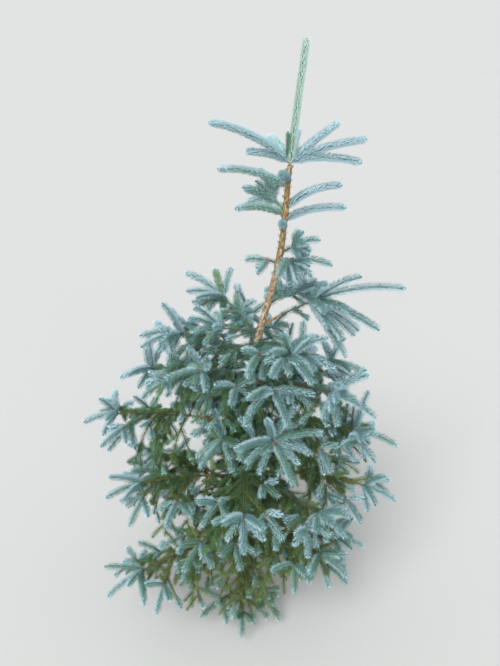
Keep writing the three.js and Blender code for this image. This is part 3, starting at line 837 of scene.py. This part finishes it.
def grow_shoot(space, index, plan):
    """A single shoot on the trunk."""
    shoot = Foliage(space, f"trunk_shoot_{index}")
    curve = bough_curve(*plan)
    shoot.add(new_shoot(stretch(curve, 0, 1, TWIG_STEPS)))
    start, along = place_along(shoot.twigs[0].points, 0.1)
    shoot.nodes.append((start, along, 1.0))
    return shoot


def grow_tree():
    space = limb_space()
    tuft = grow_tuft(space)
    shoots = [grow_shoot(space, i + 1, plan) for i, plan in enumerate(TRUNK_SHOOTS)]
    plans = BOUGHS + TRUNK_MASSES
    masses = [Foliage(space, plan.name, plan, FIRST_SEED + i) for i, plan in enumerate(plans)]
    for i, mass in enumerate(masses):
        mass.grow_stem(BARE_SHARE if i < len(BOUGHS) else 0)
    for grow in (Foliage.grow_star, Foliage.grow_sides, Foliage.grow_finer):
        for mass in masses:
            grow(mass)
    for mass in masses:
        if mass.plan.height < CURTAIN_TOP:
            mass.grow_curtain()
    grow_inner(masses, space)
    return [tuft, *shoots, *masses]


def smooth_places(points, t):
    """Places and directions on a smooth curve through points, at shares t of the way along it."""
    padded = np.vstack([2 * points[0] - points[1], points, 2 * points[-1] - points[-2]])
    at = np.clip(t, 0, 1 - 1e-9) * (len(points) - 1)
    i = at.astype(int)
    f = (at - i)[:, None]
    p0, p1, p2, p3 = (padded[i + k] for k in range(4))
    square = 2 * p0 - 5 * p1 + 4 * p2 - p3
    cube = 3 * p1 - p0 - 3 * p2 + p3
    place = 0.5 * (2 * p1 + (p2 - p0) * f + square * f**2 + cube * f**3)
    along = 0.5 * ((p2 - p0) + 2 * square * f + 3 * cube * f**2)
    return place, unit(along)


def rising(first, share):
    """From a first value up to 1."""
    return first + (1 - first) * share


def turned(first, second, angle):
    """Directions turned from first ones towards second ones by angles."""
    return first * np.cos(angle)[:, None] + second * np.sin(angle)[:, None]


def needles(twig, kind, rng):
    """The root, the bend and the tip of each needle of a twig."""
    length = length_of(twig.points)
    count = max(FEWEST_NEEDLES, int(length * kind.density))
    tufts = max(2, round(length / kind.tuft))
    at = (np.arange(count) + 0.5) / count * tufts
    at = np.floor(at) + 0.5 + rng.uniform(-TUFT_SPREAD, TUFT_SPREAD, count)
    t = at / tufts * max(0.5, 1 - LAST_REACH / length)
    place, along = smooth_places(twig.points, t)
    left, above = crossways(along)
    turn = np.arange(count) * GOLDEN_ANGLE + rng.uniform(-NEEDLE_TURN, NEEDLE_TURN, count)
    out = turned(left, above, turn)
    out = unit(out + UP * NEEDLE_UPTURN + rng.normal(0, NEEDLE_SCATTER, (count, 3)))
    out = unit(out - along * (out * along).sum(axis=1, keepdims=True))
    closing = np.clip(((1 - t) * length - LAST_REACH) / TIP_CLOSING, 0, 1)
    opening = np.clip(t * length / FOOT_CLOSING, 0, 1) if twig.is_new else np.ones(count)
    share = rising(TIP_CLOSED, closing) * rising(FOOT_CLOSED, opening)
    root_angle = np.radians(kind.root * share + rng.normal(0, ROOT_WOBBLE, count))
    tip_angle = (kind.tip + TIP_TUCK) * share - TIP_TUCK
    tip_angle = np.radians(tip_angle + rng.normal(0, TIP_WOBBLE, count))
    size = kind.length * rng.uniform(*NEEDLE_SIZES, count) * rising(FOOT_SIZE, opening)
    size *= 1 - TIP_TAPER * t**3
    size *= twig.brush / (SHOOT_BRUSH if twig.is_new else OLD_BRUSH)
    wood = twig.wood[0] + (twig.wood[1] - twig.wood[0]) * t
    root = place + out * (wood * ROOT_IN_WOOD)[:, None]
    bend = root + turned(along, out, root_angle) * (size * BEND_SHARE)[:, None]
    tip = bend + turned(along, out, tip_angle) * (size * (1 - BEND_SHARE))[:, None]
    return root, bend, tip


class Heap:
    """Corners, triangles and the paint of each triangle, gathered for one piece."""

    def __init__(self):
        self.corners, self.faces, self.paints, self.count = [], [], [], 0

    def add(self, corners, faces, paints):
        self.corners.append(corners)
        self.faces.append(faces + self.count)
        self.paints.append(paints)
        self.count += len(corners)

    def add_needles(self, root, bend, tip, width, paint, blade=CLOSED_BLADE):
        """Blades, broadest at the bend, in a paint and the one that follows it."""
        n = len(root)
        outward = bend - (root + tip) / 2
        side = unit(np.cross(tip - root, outward)) * width
        corners = np.stack([root, bend + side, bend - side, tip], axis=1)
        shape = np.array([face for face, _ in blade])
        faces = shape + 4 * np.arange(n)[:, None, None]
        paints = np.tile([paint + half for _, half in blade], n)
        self.add(corners.reshape(-1, 3), faces.reshape(-1, 3), paints)

    def add_grid(self, rings, paint):
        """A closed tube through rings of corners, with a flat cap at each end."""
        count, sides = rings.shape[:2]
        start = np.arange(count - 1)[:, None] * sides
        side = np.arange(sides)
        a = (start + side).ravel()
        b = (start + (side + 1) % sides).ravel()
        k = np.arange(1, sides - 1)
        last = (count - 1) * sides
        faces = np.vstack(
            [
                np.stack([a, b, b + sides], 1),
                np.stack([a, b + sides, a + sides], 1),
                np.stack([0 * k, k + 1, k], 1),
                np.stack([0 * k + last, last + k, last + k + 1], 1),
            ]
        )
        self.add(rings.reshape(-1, 3), faces, np.full(len(faces), paint))

    def add_tube(self, points, radii, sides, paint):
        """A closed tube whose radii are one number, or one for each corner, at each point."""
        left, above = crossways(unit(np.gradient(points, axis=0)))
        angle = (2 * math.pi * np.arange(sides) / sides)[None, :, None]
        ring = left[:, None] * np.cos(angle) + above[:, None] * np.sin(angle)
        self.add_grid(points[:, None] + ring * radii.reshape(len(points), -1, 1), paint)

    def piece(self, name, materials, slot, nodes, smooth=False):
        """The gathered triangles as one object that stands for the nodes."""
        corners = np.vstack(self.corners) * MM
        faces = np.vstack(self.faces)
        mesh = bpy.data.meshes.new(name)
        mesh.vertices.add(len(corners))
        mesh.vertices.foreach_set("co", corners.astype(np.float32).ravel())
        mesh.loops.add(faces.size)
        mesh.loops.foreach_set("vertex_index", faces.astype(np.int32).ravel())
        mesh.polygons.add(len(faces))
        face_values = {
            "loop_start": np.arange(0, faces.size, 3, dtype=np.int32),
            "loop_total": np.full(len(faces), 3, np.int32),
            "material_index": np.concatenate(self.paints).astype(np.int32),
            "use_smooth": np.full(len(faces), smooth),
        }
        for attribute, values in face_values.items():
            mesh.polygons.foreach_set(attribute, values)
        for material in materials:
            mesh.materials.append(material)
        mesh.update(calc_edges=True)
        piece = bpy.data.objects.new(name, mesh)
        bpy.context.scene.collection.objects.link(piece)
        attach(piece, "root")
        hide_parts(*nodes)


def linear(*srgb):
    """A colour on the 0 to 255 scale as Blender's linear one."""
    c = np.array(srgb) / 255
    return (*np.where(c <= 0.04045, c / 12.92, ((c + 0.055) / 1.055) ** 2.4), 1.0)


def shading(owner):
    """The nodes and the links of a new material or world."""
    owner.use_nodes = True
    return owner.node_tree.nodes, owner.node_tree.links


def new_node(nodes, kind, **values):
    """A shader node with the values of some of its inputs, named in lower case with underscores."""
    node = nodes.new("ShaderNode" + kind)
    for name, value in values.items():
        node.inputs[name.replace("_", " ").title()].default_value = value
    return node


def plain_material(name, colour, roughness, specular=0.3, sheen=0.0):
    material = bpy.data.materials.new(name)
    shader = shading(material)[0]["Principled BSDF"]
    shader.inputs["Base Color"].default_value = linear(*colour)
    shader.inputs["Roughness"].default_value = roughness
    shader.inputs["Specular IOR Level"].default_value = specular
    shader.inputs["Sheen Weight"].default_value = sheen
    return material


def tinted(name, tints, roughness, sheen):
    """A pair of materials for each tint, in order."""
    # The root material of each pair holds painted shade between the needles, and the tip material painted
    # light on their tips.
    return [
        plain_material(f"{name}_{i}_{half}", colour, roughness, sheen=sheen)
        for i, pair in enumerate(tints)
        for half, colour in zip(("root", "tip"), pair)
    ]


def bark_material(name, bark):
    material = plain_material(name, bark.low, BARK_ROUGHNESS, BARK_SPECULAR)
    nodes, links = shading(material)
    shader = nodes["Principled BSDF"]
    place = new_node(nodes, "TexCoord")
    axes = new_node(nodes, "SeparateXYZ")
    links.new(place.outputs["Object"], axes.inputs[0])
    stretched = new_node(nodes, "Mapping", scale=PATTERN_STRETCH)
    links.new(place.outputs["Object"], stretched.inputs["Vector"])

    def noise_of(scale):
        mottle = new_node(nodes, "TexNoise", scale=scale, detail=PATTERN_DETAIL)
        links.new(stretched.outputs["Vector"], mottle.inputs["Vector"])
        return mottle.outputs["Fac"]

    def mixed(below, above, share):
        blend = nodes.new("ShaderNodeMix")
        blend.data_type = "RGBA"
        if isinstance(below, tuple):
            blend.inputs["A"].default_value = linear(*below)
        else:
            links.new(below, blend.inputs["A"])
        blend.inputs["B"].default_value = linear(*above)
        links.new(share, blend.inputs["Factor"])
        return blend.outputs["Result"]

    def between(value, start, stop, most=1.0):
        share = new_node(nodes, "MapRange", from_min=start, from_max=stop, to_max=most)
        links.new(value, share.inputs["Value"])
        return share.outputs["Result"]

    flakes, specks = noise_of(FLAKES[0]), noise_of(SPECKS[0])
    paint = mixed(bark.low, bark.high, between(axes.outputs["Z"], *bark.change))
    paint = mixed(paint, bark.pale, between(flakes, *FLAKES[1:]))
    paint = mixed(paint, bark.dark, between(specks, *SPECKS[1:]))
    links.new(paint, shader.inputs["Base Color"])
    bump = new_node(nodes, "Bump", **BUMP)
    links.new(specks, bump.inputs["Height"])
    links.new(bump.outputs["Normal"], shader.inputs["Normal"])
    return material


def bark_relief(point, girth):
    """How far the bark stands out at a point: flakes, and a finer grain."""
    flakes = noise.noise(Vector(point * FLAKE_PITCH))
    grain = noise.noise(Vector(point) * GRAIN_PITCH)
    return girth * FLAKE_RELIEF * flakes + GRAIN_RELIEF * grain


def outwards(out, shares):
    return shares[0] * out + shares[1] * UP


def add_pegs(heap, rng):
    """Pegs and the last needles, in a spiral up the young part of the trunk."""
    heights = np.arange(PEG_START, TRUNK_HEIGHT - 4, PEG_STEP)
    for i, height in enumerate(heights):
        angle = i * GOLDEN_ANGLE
        out = np.array((math.cos(angle), math.sin(angle), 0.0))
        root = trunk_middle(height) + out * (trunk_radius(height, angle) - PEG_SINK)
        bears_needle = height > LAST_NEEDLE_START and i % LAST_NEEDLE_STEP == 0
        kind = LAST_NEEDLE if bears_needle else PEG
        size = rng.uniform(*kind["sizes"])
        bend = root + outwards(out, PEG_ROOT_HALF) * BEND_SHARE * size
        tip = bend + outwards(out, PEG_TIP_HALF) * (1 - BEND_SHARE) * size
        heap.add_needles(root[None], bend[None], tip[None], kind["width"], kind["paint"])


def dress_trunk():
    heights = np.concatenate([np.linspace(*rings) for rings in TRUNK_RINGS])
    angle = 2 * math.pi * np.arange(TRUNK_SIDES) / TRUNK_SIDES
    ring = np.stack([np.cos(angle), np.sin(angle), 0 * angle], axis=1)
    points = np.array([trunk_middle(height) for height in heights])
    radii = np.empty((len(heights), TRUNK_SIDES))
    whorls = np.array([plan.height for plan in BOUGHS + TRUNK_MASSES])
    for i, height in enumerate(heights):
        knuckle = KNUCKLE_RADIUS * np.exp(-(((whorls - height) / KNUCKLE_SPAN) ** 2)).max()
        for k in range(TRUNK_SIDES):
            radius = trunk_radius(height, angle[k])
            radii[i, k] = radius + knuckle + bark_relief(points[i] + radius * ring[k], radius)
    heap = Heap()
    heap.add_grid(points[:, None] + ring * radii[:, :, None], 0)
    add_pegs(heap, np.random.default_rng(5))
    pegs = [plain_material(*paint) for paint in PEG_PAINTS]
    paints = [bark_material("trunk_bark", TRUNK_BARK), *pegs]
    heap.piece("trunk_bark", paints, "trunk_bark", ["trunk"], smooth=True)


def dress_boughs():
    heap = Heap()
    for plan in BOUGHS:
        start = BOUGH_SINK * trunk_radius(plan.height, 0) / plan.reach
        points = stretch(planned_curve(plan), start, BARE_SHARE, BOUGH_STEPS)
        base = limb_radius(plan.reach)
        radii = np.empty((len(points), BOUGH_SIDES))
        for i, point in enumerate(points):
            share = i / (len(points) - 1)
            taper = base * (1 + (LIMB_TIP_SHARE - 1) * share)
            radius = taper + COLLAR_RADIUS * math.exp(-share * COLLAR_FADE)
            for k in range(BOUGH_SIDES):
                offset = Vector((k * BOUGH_SIDE_STEP, 0, 0))
                relief = noise.noise(Vector(point) * BOUGH_PITCH + offset)
                radii[i, k] = radius * (1 + BOUGH_RELIEF * relief)
        heap.add_tube(points, radii, BOUGH_SIDES, 0)
    nodes = ["bough_" + plan.name for plan in BOUGHS]
    heap.piece("bough_bark", [bark_material("bough_bark", BOUGH_BARK)], "bough_bark", nodes, smooth=True)


def part_of_crown(mass):
    """The part of the crown whose pieces a mass is joined to."""
    if mass.plan is None or mass.plan.height > NECK_HEIGHT:
        return "top"
    level = "upper" if mass.plan.tip > UPPER_CROWN else "lower"
    return mass.name.split("_")[0] + "_" + level


def add_scales(heap, place, along, size, rng):
    """Papery bud scales round a node."""
    turn = np.arange(SCALE_COUNT) * GOLDEN_ANGLE + rng.uniform(0, 6)
    left, above = crossways(along)
    out = turned(left, above, turn)
    start = np.linspace(*SCALE_SPAN, SCALE_COUNT)[:, None] * size
    reach = rng.uniform(*SCALE_REACH, (SCALE_COUNT, 1)) * size
    root = place + out * SCALE_ROOT + along * start
    bend = root + out * reach + along * SCALE_CURL * reach
    tip = bend + out * SCALE_CURL * reach + along * reach
    heap.add_needles(root, bend, tip, SCALE_WIDTH * size, SCALE)


def shoot_tint(twig, rng):
    """Which tint a shoot has: bluer and lighter high in the crown and far out, greener and darker as
    painted shade low and inside it.
    """
    if twig.brush == LEADER_BRUSH:
        return LEADER
    if twig.brush == SPUR_BRUSH:
        return SPUR_GREEN
    end = twig.points[-1]
    outward = np.linalg.norm(end[:2]) / CROWN_REACH
    blueness = end[2] / TRUNK_HEIGHT + OUTWARD_BLUE * outward + rng.normal(0, BLUE_SCATTER)
    order = np.clip((BLUEST - blueness) / BLUE_RANGE, 0, 0.999)
    return int(order * len(NEW_TINTS))


def old_tint(twig, rng):
    """Which tint an old twig's needles have: bluer high in the crown."""
    height = twig.points[-1][2] + rng.normal(0, OLD_TINT_SCATTER)
    return int(np.interp(height, OLD_TINT_HEIGHTS, (len(OLD_TINTS) - 0.01, 0)))


def dress_shoot(heap, mass, twig, rng):
    """A shoot's needles. The last ones get a lighter tint, as painted light on the shoot's end, but for
    the leader's and the spur's. Only the single shoots and the whorl have no plan."""
    tint = shoot_tint(twig, rng)
    kind = NEW_NEEDLES if mass.plan else TOP_NEEDLES
    if twig.brush == LEADER_BRUSH:
        kind = LEADER_NEEDLES
    blades = np.array(needles(twig, kind, rng))
    end_light_from = blades.shape[1] - int(PAINTED_END_LIGHT_SHARE * blades.shape[1])
    heap.add_needles(*blades[:, :end_light_from], kind.width, 2 * tint)
    heap.add_needles(*blades[:, end_light_from:], kind.width, 2 * max(tint, PAINTED_END_LIGHT))


def dress_old(heap, twig, rng):
    tint = old_tint(twig, rng)
    blades = needles(twig, OLD_NEEDLES, rng)
    heap.add_needles(*blades, OLD_NEEDLES.width, 2 * tint, FOLDED_BLADE)


def dress_wood(heap, twig):
    steps, sides = FINE_TUBE if twig.is_fine else TWIG_TUBE
    points, _ = smooth_places(twig.points, np.linspace(0, 1, steps))
    old_wood = FINE_WOOD if twig.is_fine else OLD_WOOD
    # A shoot's wood takes the painted shade of its needle bases.
    paint = SHOOT_CORE_SHADE if twig.is_new else old_wood
    heap.add_tube(points, np.linspace(*twig.wood, steps), sides, paint)


def dress_foliage(masses):
    """Every mass's needles, twigs and bud scales, joined by kind in each part of the crown."""
    new_paints = tinted("new_needles", SHOOT_TINTS, roughness=0.5, sheen=0.1)
    old_paints = tinted("old_needles", OLD_TINTS, roughness=0.55, sheen=0.0)
    wood_paints = [plain_material(*paint) for paint in WOOD_PAINTS]
    parts = {}
    for mass in masses:
        parts.setdefault(part_of_crown(mass), []).append(mass)
    for part, members in parts.items():
        rng = np.random.default_rng(sum(map(ord, part)))
        new, old, wood = Heap(), Heap(), Heap()
        for mass in members:
            for twig in mass.twigs:
                if twig.is_new:
                    dress_shoot(new, mass, twig, rng)
                else:
                    dress_old(old, twig, rng)
                dress_wood(wood, twig)
            for place, along, size in mass.nodes:
                add_scales(wood, place, along, size, rng)
        nodes = ["foliage_" + mass.name for mass in members]
        new.piece("new_needles_" + part, new_paints, "needles", nodes)
        old.piece("old_needles_" + part, old_paints, "needles", nodes)
        wood.piece("twigs_" + part, wood_paints, "bough_bark", nodes, smooth=True)


def make_floor():
    bpy.ops.mesh.primitive_plane_add(size=FLOOR_SIZE)
    floor = bpy.context.object
    floor.name = "floor"
    floor.data.materials.append(plain_material("floor_paint", FLOOR_COLOUR, roughness=0.9, specular=0.0))
    floor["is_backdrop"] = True


def make_sky():
    """An even studio backdrop, a little brighter near the horizon than overhead."""
    world = bpy.data.worlds.new("studio")
    nodes, links = shading(world)
    direction = new_node(nodes, "TexCoord")
    axes = new_node(nodes, "SeparateXYZ")
    links.new(direction.outputs["Generated"], axes.inputs[0])
    glow = new_node(nodes, "MapRange", **SKY)
    links.new(axes.outputs["Z"], glow.inputs["Value"])
    background = nodes["Background"]
    background.inputs["Color"].default_value = SKY_COLOUR
    links.new(glow.outputs["Result"], background.inputs["Strength"])
    bpy.context.scene.world = world


def make_lamps():
    for name, energy, spread, tilt, turn in LAMPS:
        light = bpy.data.lights.new(name, "SUN")
        light.energy = energy
        light.angle = math.radians(spread)
        lamp = bpy.data.objects.new(name, light)
        lamp.rotation_euler = (math.radians(tilt), math.radians(turn), 0)
        bpy.context.scene.collection.objects.link(lamp)


def make_camera():
    data = bpy.data.cameras.new("camera")
    data.lens = CAMERA_LENS
    data.sensor_width = 36
    data.clip_start = 0.05
    data.clip_end = 200
    camera = bpy.data.objects.new("camera", data)
    camera.location = CAMERA_PLACE
    camera.rotation_euler = (math.radians(90 - CAMERA_DOWN), 0, 0)
    bpy.context.scene.collection.objects.link(camera)
    bpy.context.scene.camera = camera


bpy.context.scene.view_settings.view_transform = "Standard"
make_camera()
make_floor()
make_sky()
make_lamps()
dress_trunk()
dress_boughs()
dress_foliage(grow_tree())

boxes = {"cad": cad_box, "visual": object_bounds()}
{k: [list(map(float, corner)) for corner in box] for k, box in boxes.items()}
